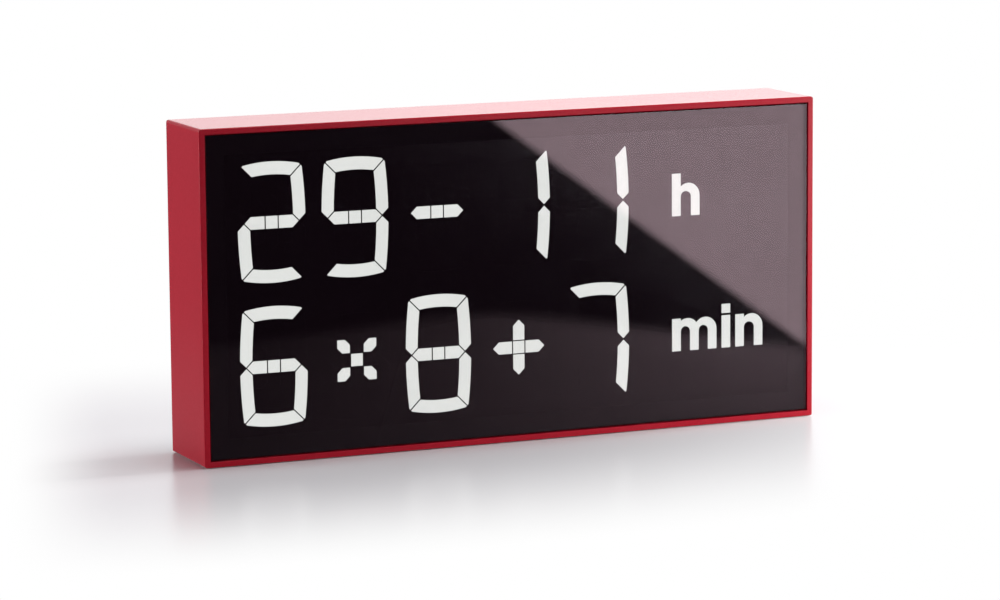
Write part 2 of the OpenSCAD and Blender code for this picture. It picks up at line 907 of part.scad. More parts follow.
module lamp_board() {
    color(white)
        difference() {
            along_y(lamp_y, lamp_back_y)
                sheet(inner_w - 2 * board_gap, inner_h - 2 * board_gap);
            for (at = post_places)
                rod(post_d + 2 * post_gap, lamp_y - past, lamp_back_y + past, at);
            screw_holes(board_screw, boss_places, lamp_back_y, true);
        }
}

module lamp(at) {
    half = lamp_w / 2;
    block([at[0] - half, at[0] + half], [lamp_y - lamp_h, lamp_y], [at[1] - half, at[1] + half]);
}

module segment_lamps() {
    color("#f4e9b0") {
        for (row = [0, 1])
            for (col = [0:CELLS - 1])
                for (s = SEGMENTS)
                    lamp(cell_at(row, col) + lamp_at(s));
        for (at = hour_lamps)
            lamp(letters_at(0) + at);
        for (at = minute_lamps)
            lamp(letters_at(1) + at);
    }
}

module driver_chips() {
    color(chip_grey)
        for (col = [0:CELLS - 1]) {
            x = cell_at(0, col)[0];
            z = mid_z - driver_drop;
            block(
                [x - driver_l / 2, x + driver_l / 2],
                [lamp_back_y, lamp_back_y + driver_h],
                [z - driver_w / 2, z + driver_w / 2]
            );
        }
}

// Ribbon between the two boards, and its connectors

ribbon_z = [chip_z - ribbon_w / 2, chip_z + ribbon_w / 2];
connector_z = [ribbon_z[0] - connector_over, ribbon_z[1] + connector_over];
connector_span = [connector_x, connector_x + connector_w];

module lamp_connector() {
    color(chip_grey)
        block(connector_span, [lamp_back_y, lamp_back_y + connector_h], connector_z);
}

module control_connector() {
    color(chip_grey)
        block(connector_span, [control_front_y - connector_h, control_front_y], connector_z);
}

module ribbon_cable() {
    seat = connector_h - ribbon_seat;
    low = lamp_back_y + seat;
    high = control_front_y - seat;
    half_t = ribbon_t / 2;
    bend = [connector_span[1] + ribbon_run, (low + high) / 2];
    bend_r = (high - low) / 2;
    outer = [
        for (i = [0:arch_steps])
            let (turn = 180 * i / arch_steps - 90)
                bend + (bend_r + half_t) * [cos(turn), sin(turn)]
    ];
    inner = [
        for (i = [0:arch_steps])
            let (turn = 90 - 180 * i / arch_steps)
                bend + (bend_r - half_t) * [cos(turn), sin(turn)]
    ];
    start = connector_span[1];
    color("#8d9197")
        translate([0, 0, ribbon_z[0]])
            linear_extrude(ribbon_w)
                polygon(concat(
                    [[start, low - half_t]], outer, [[start, high + half_t], [start, high - half_t]],
                    inner, [[start, low + half_t]]
                ));
}

// Controller board and what it carries

module control_board() {
    color(board_green)
        difference() {
            block([-control_w / 2, control_w / 2], [control_front_y, control_y], [control_low, control_high]);
            screw_holes(board_screw, standoff_places, control_front_y, false);
        }
}

module processor() {
    half = processor_w / 2;
    color(chip_grey)
        block(
            [-processor_x - half, -processor_x + half],
            [control_front_y - processor_h, control_front_y],
            [chip_z - half, chip_z + half]
        );
}

module clock_crystal() {
    color(steel)
        translate([-crystal_x, control_front_y - crystal_d / 2, chip_z - crystal_l / 2])
            cylinder(d = crystal_d, h = crystal_l);
}

holder_h = cell_t + holder_wall + cell_gap;

module cell_holder() {
    well = cell_d + 2 * cell_gap;
    color(chip_grey)
        difference() {
            rod(well + 2 * holder_wall, control_front_y - holder_h, control_front_y, [holder_x, chip_z]);
            rod(well, control_front_y - holder_h - past, control_front_y - holder_wall, [holder_x, chip_z]);
        }
}

module backup_cell() {
    back = control_front_y - holder_wall;
    color(steel)
        rod(cell_d, back - cell_t, back, [holder_x, chip_z]);
}

module supply_capacitors() {
    color(steel)
        for (end = [-1, 1])
            rod(
                capacitor_d, control_front_y - capacitor_h, control_front_y,
                [-capacitor_x, chip_z + end * (capacitor_d + capacitor_gap) / 2]
            );
}

socket_y = control_y + socket_t / 2;

module power_socket() {
    bore_w = socket_w - 2 * socket_shell;
    bore_t = socket_t - 2 * socket_shell;
    tongue_low = well_high + socket_mouth - tongue_l;
    color(steel)
        union() {
            translate([0, socket_y, well_high])
                difference() {
                    linear_extrude(socket_l)
                        polygon(slot_outline(socket_w, socket_t));
                    translate([0, 0, -past])
                        linear_extrude(socket_mouth + past)
                            polygon(slot_outline(bore_w, bore_t));
                }
            block(
                [-tongue_w / 2, tongue_w / 2],
                [socket_y - tongue_t / 2, socket_y + tongue_t / 2],
                [tongue_low, well_high + socket_mouth + sunk]
            );
        }
}

module switch_bodies() {
    half = switch_w / 2;
    bore = plunger_in + button_travel + plunger_gap;
    color(chip_grey)
        difference() {
            for (x = button_x)
                block([x - half, x + half], [control_y, switch_y], [button_z - half, button_z + half]);
            for (x = button_x)
                rod(plunger_d + 2 * plunger_gap, switch_y - bore, switch_y + past, [x, button_z]);
        }
}

// Push buttons, which slide along Y

module button(x) {
    cap_y = cover_y + button_out;
    color(black)
        translate([x, 0, button_z])
            rotate([-90, 0, 0])
                rotate_extrude()
                    polygon([
                        [0, plunger_y],
                        [stem_d / 2, plunger_y],
                        [stem_d / 2, collar_y - collar_t],
                        [button_d / 2 + collar_w, collar_y - collar_t],
                        [button_d / 2 + collar_w, collar_y],
                        [button_d / 2, collar_y],
                        [button_d / 2, cap_y - button_round],
                        [button_d / 2 - button_round, cap_y],
                        [0, cap_y]
                    ]);
}

module plunger(x) {
    color(white)
        rod(plunger_d, switch_y - plunger_in, plunger_y, [x, button_z]);
}

// Rear cover and fasteners

module rear_cover() {
    well_x = [-well_w / 2, well_w / 2];
    pocket_half = keyhole_head_d / 2 + pocket_room;
    pocket_z = [entry_z - pocket_half, hang_z + pocket_half];
    color(black)
        difference() {
            union() {
                along_y(cover_in_y, cover_y)
                    sheet(inner_w - 2 * cover_gap, inner_h - 2 * cover_gap);
                block(
                    well_x + well_wall * [-1, 1],
                    [well_floor_y - well_wall, cover_in_y + sunk],
                    [well_low - well_wall, well_high + well_wall]
                );
                for (side = [-1, 1])
                    block(
                        side * keyhole_spacing / 2 * [1, 1] + (pocket_half + pocket_wall) * [-1, 1],
                        [cover_in_y - pocket_d - pocket_wall, cover_in_y + sunk],
                        pocket_z + pocket_wall * [-1, 1]
                    );
                for (at = standoff_places)
                    rod(standoff_d, control_y, cover_in_y + sunk, at);
            }
            block(well_x, [well_floor_y, cover_y + past], [well_low, well_high]);
            translate([0, socket_y, well_high - past])
                linear_extrude(well_wall + 2 * past)
                    polygon(slot_outline(socket_w + 2 * socket_gap, socket_t + 2 * socket_gap));
            for (side = [-1, 1])
                translate([side * keyhole_spacing / 2, 0, 0]) {
                    block(pocket_half * [-1, 1], [cover_in_y - pocket_d, cover_in_y], pocket_z);
                    rod(keyhole_head_d, cover_in_y - past, cover_y + past, [0, entry_z]);
                    along_y(cover_in_y - past, cover_y + past)
                        translate([0, entry_z + keyhole_slot_l / 2])
                            rotate(90)
                                polygon(slot_outline(keyhole_slot_l + keyhole_slot_w, keyhole_slot_w));
                }
            screw_holes(cover_screw, post_places, cover_y, true);
            screw_holes(board_screw, standoff_places, control_front_y, false);
            for (x = button_x)
                rod(button_d + 2 * button_gap, cover_in_y - past, cover_y + past, [x, button_z]);
            along_y(cover_in_y - past, cover_y + past)
                for (side = [-1, 1])
                    for (i = [0:vent_count - 1])
                        translate([side * vent_x + (i - (vent_count - 1) / 2) * vent_pitch, pad_out + vent_z])
                            rotate(90)
                                polygon(slot_outline(vent_l, vent_w));
        }
}

module module_screws() {
    color(steel)
        screws(board_screw, boss_places, lamp_back_y, true);
}

module board_screws() {
    color(steel)
        screws(board_screw, standoff_places, control_front_y, false);
}

module cover_screws() {
    color(steel)
        screws(cover_screw, post_places, cover_y, true);
}

module foot_pads() {
    color(rubber)
        for (at = pad_places)
            translate([at[0], at[1], 0])
                cylinder(d = pad_d, h = pad_t);
}

case_frame();
front_panel();
panel_tape();
segment_film();
light_mask();
for (i = [0:CELLS - 1]) {
    lit_cell(hours_shown, 0, i);
    lit_cell(minutes_shown, 1, i);
}
unlit_lenses(hours_shown, 0);  // hours_unlit_lenses
unlit_lenses(minutes_shown, 1);  // minutes_unlit_lenses
hour_letter();
minute_letters();
lamp_board();
segment_lamps();
driver_chips();
lamp_connector();
module_screws();
ribbon_cable();
control_connector();
control_board();
processor();
clock_crystal();
cell_holder();
backup_cell();
supply_capacitors();
power_socket();
switch_bodies();
board_screws();
for (i = [0:len(BUTTONS) - 1]) {
    button(button_x[i]);
    plunger(button_x[i]);
}
rear_cover();
cover_screws();
foot_pads();
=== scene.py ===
# %% [markdown]
# # A math clock
# A flat red box with a smoked front. Behind the front, white segments show the time as two sums, one for
# the hours and one for the minutes. The frame brings every solid of the clock in its real place. This file
# gives the solids their finishes, models anew what a plain solid shows too coarsely, and sets up the studio.
# The scene is in metres, with X across the front, Y from front to back and Z up. Sizes of small things are
# written in millimetres and multiplied by MM.

# %% Load the frame
import json
from math import cos, pi, radians, sin

import bmesh
import bpy
from mathutils import Matrix, Vector


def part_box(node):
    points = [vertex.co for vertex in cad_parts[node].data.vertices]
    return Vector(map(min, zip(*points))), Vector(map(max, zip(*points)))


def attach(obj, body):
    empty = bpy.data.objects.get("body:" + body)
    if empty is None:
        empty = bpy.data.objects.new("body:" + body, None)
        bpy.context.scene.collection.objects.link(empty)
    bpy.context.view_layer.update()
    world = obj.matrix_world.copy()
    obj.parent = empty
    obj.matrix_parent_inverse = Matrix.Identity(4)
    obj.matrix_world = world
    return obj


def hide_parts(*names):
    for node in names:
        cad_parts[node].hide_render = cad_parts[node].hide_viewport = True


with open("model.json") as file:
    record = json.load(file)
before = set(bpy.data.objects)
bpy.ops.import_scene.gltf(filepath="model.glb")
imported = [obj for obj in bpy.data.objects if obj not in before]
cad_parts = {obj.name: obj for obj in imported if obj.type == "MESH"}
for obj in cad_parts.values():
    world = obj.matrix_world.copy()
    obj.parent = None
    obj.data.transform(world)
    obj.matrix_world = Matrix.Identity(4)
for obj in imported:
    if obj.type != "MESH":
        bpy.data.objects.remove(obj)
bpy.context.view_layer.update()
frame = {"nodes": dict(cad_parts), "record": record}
MM = 0.001

# %% [markdown]
# ## How the finishes are written
# A colour picker gives sRGB values, while a shader works with linear light, so one function turns a hex value
# into linear light. A second one adds a node with its settings and links, which keeps the node trees readable
# as text.

# %% Colours and nodes
CASE_REDS = ("#ba1a2d", "#bd1d30")


def linear(code):
    """Linear red, green, blue and alpha of an sRGB hex value."""
    parts = [int(code[i:i + 2], 16) / 255 for i in (1, 3, 5)]
    return [v / 12.92 if v <= 0.04045 else ((v + 0.055) / 1.055) ** 2.4 for v in parts] + [1]


def add(tree, kind, settings=(), **inputs):
    """Adds a node. Settings are its properties. An input is a value, or an output that is linked to it."""
    node = tree.nodes.new(kind)
    for name, value in dict(settings).items():
        setattr(node, name, value)
    for name, value in inputs.items():
        socket = node.inputs[int(name[1:])] if name[1:].isdigit() else node.inputs[name]
        if isinstance(value, bpy.types.NodeSocket):
            tree.links.new(value, socket)
        else:
            socket.default_value = value
    return node


print("reds of the case in linear light:", [[round(v, 3) for v in linear(red)] for red in CASE_REDS])

# %% [markdown]
# ## A surface that is never quite even
# Moulded, painted and plated surfaces all vary a little: in tone, in gloss and in height. A picture of such a
# surface would repeat and would need an unwrapped mesh. A noise pattern on Object coordinates needs neither,
# and its blotch size can be given in real millimetres. So each finish starts from one function that takes two
# tones, a range of roughness, a blotch size and a height of relief. What is the same all over is set directly
# on the shader's sockets.

# %% The base of every finish
NOISE_LOW, NOISE_HIGH = 0.35, 0.65
finishes = {}


def surface(slot, name, tones, rough, blotch, relief=0.0, sockets=(), detail=4.0):
    """A Principled finish with a noise pattern, kept under its slot. Blotch and relief are in millimetres."""
    material = bpy.data.materials.new(name)
    material.use_nodes = True
    tree = material.node_tree
    shader = tree.nodes["Principled BSDF"]
    for socket, value in dict(sockets).items():
        shader.inputs[socket].default_value = value
    where = add(tree, "ShaderNodeTexCoord").outputs["Object"]
    noise = add(tree, "ShaderNodeTexNoise", Vector=where, Scale=1 / (blotch * MM),
                Detail=detail).outputs["Fac"]
    blend = add(tree, "ShaderNodeMapRange", Value=noise, _1=NOISE_LOW, _2=NOISE_HIGH).outputs[0]
    tone = add(tree, "ShaderNodeMix", {"data_type": "RGBA"}, _0=blend,
               _6=linear(tones[0]), _7=linear(tones[1]))
    tree.links.new(tone.outputs[2], shader.inputs["Base Color"])
    if isinstance(rough, tuple):
        gloss = add(tree, "ShaderNodeMapRange", Value=noise, _1=NOISE_LOW, _2=NOISE_HIGH,
                    _3=rough[0], _4=rough[1])
        tree.links.new(gloss.outputs[0], shader.inputs["Roughness"])
    else:
        shader.inputs["Roughness"].default_value = rough
    if relief:
        bump = add(tree, "ShaderNodeBump", Strength=1.0, Distance=relief * MM, Height=noise)
        tree.links.new(bump.outputs["Normal"], shader.inputs["Normal"])
    finishes[slot] = material
    return tree, shader, where


# %% [markdown]
# ## The case and the front
# The case is moulded and sprayed with a satin red lacquer. Spraying leaves orange peel, a soft waviness about
# 1.5 mm across and less than a thousandth of a millimetre high, which breaks up a reflection at its edges.
# The front is smoked acrylic. It could be painted black, but then the lit segments would need a hole in it. A
# clear shader with a grey base colour does what the real sheet does: it dims what lies behind it twice for
# light from outside and once for the segments' own light. A faint tint of its gloss gives the mirrored light
# the warm grey that it has in the photo.

# %% Lacquer and smoked acrylic
PEEL, PEEL_HIGH, SHEET_BLOTCH = 1.5, 0.0006, 60
surface("red_lacquer", "satin_red_lacquer", CASE_REDS, (0.18, 0.2), PEEL, PEEL_HIGH,
        sockets={"Specular IOR Level": 0.2}, detail=1.0)
surface("smoked_acrylic", "polished_smoked_acrylic", ("#aaa7aa", "#aeabae"), 0.0, SHEET_BLOTCH,
        sockets={"Transmission Weight": 1.0, "IOR": 1.49, "Specular Tint": linear("#ffdce7")})
print("case and front:", [finishes[s].name for s in ("red_lacquer", "smoked_acrylic")])

# %% [markdown]
# ## What lies behind the front
# A black printed film with one clear window for each segment, and lenses of opal acrylic in the windows. A
# lit lens is white and glows evenly, because its lamp sits in a well behind it. A dark lens could be clear,
# but then its well would show. It has a dark body colour that disappears behind the smoked sheet, so that
# only the lit signs show.

# %% Film and lenses
surface("black_film", "printed_black_film", ("#08080a", "#0b0b0d"), (0.07, 0.11), 25)
surface("lit_lens", "lit_opal_acrylic", ("#eef0ea", "#f4f5f0"), (0.3, 0.4), 3,
        sockets={"Emission Color": linear("#f1f6ef"), "Emission Strength": 2.05})
surface("unlit_lens", "dark_opal_acrylic", ("#0a0a0c", "#0e0e10"), (0.08, 0.13), 10)
print("display:", [finishes[s].name for s in ("black_film", "lit_lens", "unlit_lens")])

# %% [markdown]
# ## Mouldings, metal and resin
# The rear cover is black ABS from a mould that was spark eroded, which leaves a fine matt grain. The true
# grain is about 0.1 mm and too fine to show, so it is drawn at 0.5 mm. The buttons come from a smoother
# mould. The screws are zinc plated and the shells nickel plated: a metal has no body colour under its gloss,
# so metallic is 1 and the tone is the colour of the reflection.

# %% Mouldings and metals
METAL = {"Metallic": 1.0}
surface("black_moulding", "spark_grained_black_abs", ("#131315", "#1b1b1d"), (0.48, 0.62), 0.5, 0.02)
surface("button_cap", "satin_grey_abs", ("#4a4a4e", "#525257"), (0.34, 0.44), 0.8, 0.003)
surface("plunger_nylon", "natural_nylon", ("#d6d4cb", "#e0ded6"), (0.4, 0.5), 1.2)
surface("pad_rubber", "matt_black_rubber", ("#1c1c1d", "#272728"), (0.75, 0.88), 0.6, 0.02)
surface("zinc_steel", "zinc_plated_steel", ("#a4a8ad", "#b9bcc0"), (0.26, 0.4), 0.9, 0.002, METAL)
surface("nickel_shell", "nickel_plated_shell", ("#b3aea4", "#c2bdb3"), (0.2, 0.3), 1.4, 0.001, METAL)
surface("lamp_resin", "yellow_lamp_resin", ("#e6cf74", "#efdb8b"), (0.2, 0.3), 0.5)
surface("chip_resin", "moulded_chip_resin", ("#1c1c1f", "#28282b"), (0.5, 0.62), 0.4, 0.006)
print(len(finishes), "finishes so far")

# %% [markdown]
# ## Boards and ribbon
# A circuit board shows the weave of its glass cloth faintly through the solder mask, about two threads to the
# millimetre. Two crossed waves give that weave as relief. A ribbon cable is a row of insulated wires side by
# side, so one wave along its width, 1.27 mm from ridge to ridge, gives its grooves. The lamp board is white
# only on the side of the lamps, where it throws their light forward. Its back shows through the vents and is
# dark, so the tone there depends on which way a face looks.

# %% Weave and grooves
THREAD, THREAD_HIGH, WIRE, WIRE_HIGH = 0.5, 0.01, 1.27, 0.2
WAVE_PERIOD = pi / 10  # of a wave texture at scale 1


def wave_relief(tree, shader, where, axes, pitch, height):
    """Adds ridges across each axis, with a pitch and a height in millimetres."""
    total = None
    for axis in axes:
        ridges = add(tree, "ShaderNodeTexWave", {"bands_direction": axis}, Vector=where,
                     Scale=WAVE_PERIOD / (pitch * MM)).outputs["Fac"]
        total = ridges if total is None else add(
            tree, "ShaderNodeMath", {"operation": "ADD"}, _0=total, _1=ridges).outputs[0]
    bump = add(tree, "ShaderNodeBump", Strength=1.0, Distance=height * MM, Height=total)
    tree.links.new(bump.outputs["Normal"], shader.inputs["Normal"])


wave_relief(*surface("green_board", "green_solder_mask", ("#135230", "#1a623a"), (0.3, 0.4), 4),
            "XZ", THREAD, THREAD_HIGH)
wave_relief(*surface("ribbon_vinyl", "grey_ribbon_vinyl", ("#8a8d93", "#969aa0"), (0.45, 0.55), 3),
            "Z", WIRE, WIRE_HIGH)
print("with relief:", [finishes[s].name for s in ("green_board", "ribbon_vinyl")])

# %% A lamp board with two tones
LOOKS_BACK = 0.5
tree, shader, where = surface("white_board", "white_solder_mask", ("#d8d9d5", "#e3e4e0"), (0.36, 0.46), 4)
wave_relief(tree, shader, where, "XZ", THREAD, THREAD_HIGH)
normal = add(tree, "ShaderNodeTexCoord").outputs["Normal"]
facing = add(tree, "ShaderNodeSeparateXYZ", Vector=normal).outputs["Y"]
rear = add(tree, "ShaderNodeMath", {"operation": "GREATER_THAN"}, _0=facing, _1=LOOKS_BACK).outputs[0]
two_tone = add(tree, "ShaderNodeMix", {"data_type": "RGBA"}, _0=rear,
               _6=shader.inputs["Base Color"].links[0].from_socket, _7=linear("#0c2b1b"))
tree.links.new(two_tone.outputs[2], shader.inputs["Base Color"])
print(len(finishes), "finishes for", len(frame["nodes"]), "nodes")

# %% [markdown]
# ## Finishes on the solids
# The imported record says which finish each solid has, so one loop gives all of them their material. The tape
# shares the film's slot, but a bonding tape is matt, so it gets a finish of its own. So do the inks and the
# gold of the pieces that are only modelled here.

# %% Give every solid its finish
surface("bonding_tape", "matt_black_foam_tape", ("#0c0c0d", "#121213"), (0.7, 0.85), 1.0, 0.02)
surface("border_ink", "screen_printed_black_ink", ("#070708", "#0a0a0b"), (0.45, 0.55), 2.0, 0.002)
surface("sign_ink", "pad_printed_white_ink", ("#c9cac8", "#d6d7d5"), (0.5, 0.6), 0.8, 0.002)
surface("contact_gold", "gold_plated_contacts", ("#c9a04a", "#d9b663"), (0.18, 0.28), 0.6, 0.0, METAL)
for part in frame["record"]["subparts"]:
    solid = frame["nodes"][part["node"]]
    solid.data.materials.clear()
    solid.data.materials.append(finishes[part["material_slot"]])
frame["nodes"]["panel_tape"].data.materials[0] = finishes["bonding_tape"]

# %% [markdown]
# ## Soft edges on the case and the cover
# No moulded edge is perfectly sharp: a thin line of light runs along it. The solids of the case, the rear
# cover and the pads have the right shape, so they stay. Their triangles are loose, so a Weld modifier joins
# them first, a planar Decimate turns the flat regions back into single faces, and a Bevel then rounds what is
# left of the edges.

# %% Round the edges of the big mouldings
JOIN, FLAT_ANGLE, EDGE_ANGLE, EDGE_STEPS = 0.002, 0.5, 28, 3


def soften(node, width):
    """Rounds the edges of a solid by a width in millimetres."""
    solid = frame["nodes"][node]
    weld = solid.modifiers.new("join_triangles", "WELD")
    weld.merge_threshold = JOIN * MM
    flat = solid.modifiers.new("flat_faces", "DECIMATE")
    flat.decimate_type = "DISSOLVE"
    flat.angle_limit = radians(FLAT_ANGLE)
    edge = solid.modifiers.new("soft_edges", "BEVEL")
    edge.width = width * MM
    edge.segments = EDGE_STEPS
    edge.limit_method = "ANGLE"
    edge.angle_limit = radians(EDGE_ANGLE)
    edge.use_clamp_overlap = True
    print(node, "has edges rounded by", width, "mm")


soften("case_frame", 0.16)
soften("rear_cover", 0.25)
soften("foot_pads", 0.2)

# %% [markdown]
# ## From a bmesh to a piece
# Each new piece starts as a bmesh, an editable mesh in memory. This function turns one into an object at the
# origin, shades its round faces smooth and its edges sharp, and lets it ride on a body of the clock.

# %% Make a piece
def make_piece(shape, name, slot, body="clock_body", stands_for=(), sharp=35):
    """Turns a bmesh into an object with a finish, which may stand for solids of the frame."""
    mesh = bpy.data.meshes.new(name)
    shape.to_mesh(mesh)
    shape.free()
    mesh.polygons.foreach_set("use_smooth", [True] * len(mesh.polygons))
    mesh.set_sharp_from_angle(angle=radians(sharp))
    mesh.materials.append(finishes[slot])
    piece = bpy.data.objects.new(name, mesh)
    bpy.context.collection.objects.link(piece)
    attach(piece, body)
    if stands_for:
        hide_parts(*stands_for)
    print(name, "has", len(mesh.polygons), "faces")


# %% [markdown]
# ## The front panel
# The panel is a sheet of acrylic. Its sawn edges are broken with a narrow chamfer and polished. A scaled cube
# with a bevel of one segment gives that edge. Its back ends a hair in front of the film, because two faces in
# one plane would flicker.

# %% Model the panel
AIR_GAP, PANEL_EDGE = 0.04, 0.3
FLAT_SHARP = 10  # flat pieces stay crisp at every edge over 10 degrees
panel_low, panel_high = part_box("front_panel")
panel_high.y -= AIR_GAP * MM
panel = bmesh.new()
bmesh.ops.create_cube(panel, size=1)
bmesh.ops.scale(panel, vec=panel_high - panel_low, verts=panel.verts)
bmesh.ops.translate(panel, vec=(panel_low + panel_high) / 2, verts=panel.verts)
bmesh.ops.bevel(panel, geom=panel.edges[:], offset=PANEL_EDGE * MM, offset_type="OFFSET", affect="EDGES",
                segments=1, profile=0.5, material=-1)
make_piece(panel, "polished_panel", "smoked_acrylic", stands_for=["front_panel"], sharp=FLAT_SHARP)

# %% [markdown]
# ## The printed border
# Such a front has a black border printed on its back, which hides the tape and the ledge of the case. It is a
# layer of ink, far thinner than paper. Four strips would meet in seams. An inset of one face leaves a ring
# without any, and an extrusion gives the ring its thickness.

# %% Model the border
INK, CLEAR, OVERLAP = 0.02, 0.01, 0.8


def points_of(geometry):
    """The points among the elements that a bmesh operator gives back."""
    return [element for element in geometry if isinstance(element, bmesh.types.BMVert)]


film_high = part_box("segment_film")[1]
ring = bmesh.new()
bmesh.ops.create_grid(ring, x_segments=1, y_segments=1, size=0.5, matrix=Matrix.Rotation(pi / 2, 4, "X"))
bmesh.ops.scale(ring, vec=(panel_high.x - panel_low.x - 2 * PANEL_EDGE * MM, 1,
                           panel_high.z - panel_low.z - 2 * PANEL_EDGE * MM), verts=ring.verts)
bmesh.ops.translate(ring, vec=(0, panel_high.y + CLEAR * MM, (panel_low.z + panel_high.z) / 2),
                    verts=ring.verts)
inset = (panel_high.x - film_high.x) - PANEL_EDGE * MM + OVERLAP * MM
bmesh.ops.inset_region(ring, faces=ring.faces[:], thickness=inset, use_boundary=True, use_even_offset=True)
middle = max(ring.faces, key=lambda face: face.calc_area())
bmesh.ops.delete(ring, geom=[middle], context="FACES_ONLY")
back_side = bmesh.ops.extrude_face_region(ring, geom=ring.faces[:])["geom"]
bmesh.ops.translate(ring, vec=(0, INK * MM, 0), verts=points_of(back_side))
bmesh.ops.recalc_face_normals(ring, faces=ring.faces)
make_piece(ring, "printed_border", "border_ink", sharp=FLAT_SHARP)

# %% [markdown]
# ## The push buttons
# A button is turned: a cap with a rounded rim and a shallow dish for the fingertip, a collar that keeps it in
# the cover, and a stem. A screw modifier would do, but a spin of the half profile gives a finished mesh at
# once. The profile runs from the axis of the dish round the outside to the axis of the stem.

# %% Turn a profile into a round piece
AROUND, MERGE = 48, 0.001


def turned(profile, at):
    """Spins a profile, points of radius and y in millimetres, about an axis along Y through a place x, z."""
    shape = bmesh.new()
    points = [shape.verts.new((at[0] + r * MM, y * MM, at[1])) for r, y in profile]
    edges = [shape.edges.new(pair) for pair in zip(points, points[1:])]
    bmesh.ops.spin(shape, geom=points + edges, cent=(at[0], 0, at[1]), axis=(0, 1, 0), angle=2 * pi,
                   steps=AROUND, use_merge=True)
    bmesh.ops.remove_doubles(shape, verts=shape.verts, dist=MERGE * MM)
    bmesh.ops.recalc_face_normals(shape, faces=shape.faces)
    return shape


def arc(mid, radius, start, end, steps=6):
    """Points on an arc round mid, from one angle to another in degrees."""
    turns = [radians(start + (end - start) * i / steps) for i in range(steps + 1)]
    return [(mid[0] + radius * cos(t), mid[1] + radius * sin(t)) for t in turns]


# %% Model the buttons
BUTTONS = ("hour", "minute", "level", "brightness")
CAP_R, RIM, STEM_R, COLLAR, COLLAR_UP = 4.0, 0.8, 2.0, 1.0, 4.3
DISH, DISH_SHARE, DISH_STEPS = 0.45, 0.72, (0.24, 0.48, 0.66)
button_places = {}
for name in BUTTONS:
    low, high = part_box(f"{name}_button")
    at = ((low.x + high.x) / 2, (low.z + high.z) / 2)
    button_places[name] = at
    stem_end, top = low.y / MM, high.y / MM
    collar_r, collar_top = (high.x - low.x) / 2 / MM, stem_end + COLLAR_UP
    profile = [(0, top - DISH)]
    profile += [(CAP_R * f, top - DISH * (1 - (f / DISH_SHARE) ** 2)) for f in DISH_STEPS]
    profile += arc((CAP_R - RIM, top - RIM), RIM, 90, 0)
    profile += [(CAP_R, collar_top), (collar_r, collar_top), (collar_r, collar_top - COLLAR)]
    profile += [(STEM_R, collar_top - COLLAR), (STEM_R, stem_end), (0, stem_end)]
    make_piece(turned(profile, at), f"{name}_button_cap", "button_cap",
               f"{name}_button_body", [f"{name}_button"])

# %% [markdown]
# ## The screws of the cover
# The cover is held by pan-head screws with a cross recess. The head is turned like the buttons. A boolean
# could cut the recess, but it leaves long thin faces. Here a few straight cuts divide the flat top into a
# cross and its corners, and the cross is pushed in and narrowed towards its floor, as the real punch leaves
# it. One screw is made and then copied to each place, each stopped at another angle.

# %% Turn a screw
HEAD_R, HEAD_H, FLAT_R, SHAFT_R, SHAFT_L, TIP_L, TIP_IN = 2.8, 2.0, 2.05, 1.5, 12.0, 1.0, 0.7
HEAD_ROUND, ROUND_FROM, ROUND_STEPS = HEAD_R - FLAT_R, 75, 5
screws_low, screws_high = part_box("cover_screws")
top_y = screws_high.y / MM
head_y, tip_y = top_y - HEAD_H, top_y - HEAD_H - SHAFT_L
outline = [(0, top_y), (FLAT_R, top_y)]
outline += arc((FLAT_R, top_y - HEAD_ROUND), HEAD_ROUND, ROUND_FROM, 0, ROUND_STEPS)
outline += [(HEAD_R, head_y), (SHAFT_R, head_y)]
outline += [(SHAFT_R, tip_y + TIP_L), (SHAFT_R - TIP_IN, tip_y), (0, tip_y)]
screw = turned(outline, (0, 0))
print("plain screw of", len(screw.faces), "faces")

# %% Punch the cross
CROSS_L, CROSS_W, CROSS_DEEP, CROSS_NARROW = 3.2, 0.9, 1.1, 0.7
LEVEL, NEAR_TOP, ON_CUT = 0.99, 0.1, 1e-7


def top_faces():
    """The faces in the flat top of the screw."""
    return [f for f in screw.faces
            if f.normal.y > LEVEL and f.calc_center_median().y > (top_y - NEAR_TOP) * MM]


bmesh.ops.dissolve_faces(screw, faces=top_faces())
for offset in (-CROSS_L / 2, -CROSS_W / 2, CROSS_W / 2, CROSS_L / 2):
    for axis in ((1, 0, 0), (0, 0, 1)):
        flat = top_faces()
        rims = {e for f in flat for e in f.edges} | {v for f in flat for v in f.verts}
        bmesh.ops.bisect_plane(screw, geom=flat + list(rims), dist=ON_CUT,
                               plane_co=Vector(axis) * offset * MM, plane_no=axis)
cross = []
for face in top_faces():
    mid = face.calc_center_median() / MM
    long, short = sorted((abs(mid.x), abs(mid.z)), reverse=True)
    if long < CROSS_L / 2 and short < CROSS_W / 2:
        cross.append(face)
sunk = points_of(bmesh.ops.extrude_face_region(screw, geom=cross)["geom"])
bmesh.ops.delete(screw, geom=cross, context="FACES")
bmesh.ops.translate(screw, vec=(0, -CROSS_DEEP * MM, 0), verts=sunk)
bmesh.ops.scale(screw, vec=(CROSS_NARROW, 1, CROSS_NARROW), verts=sunk)
print("cross recess of", len(cross), "faces")

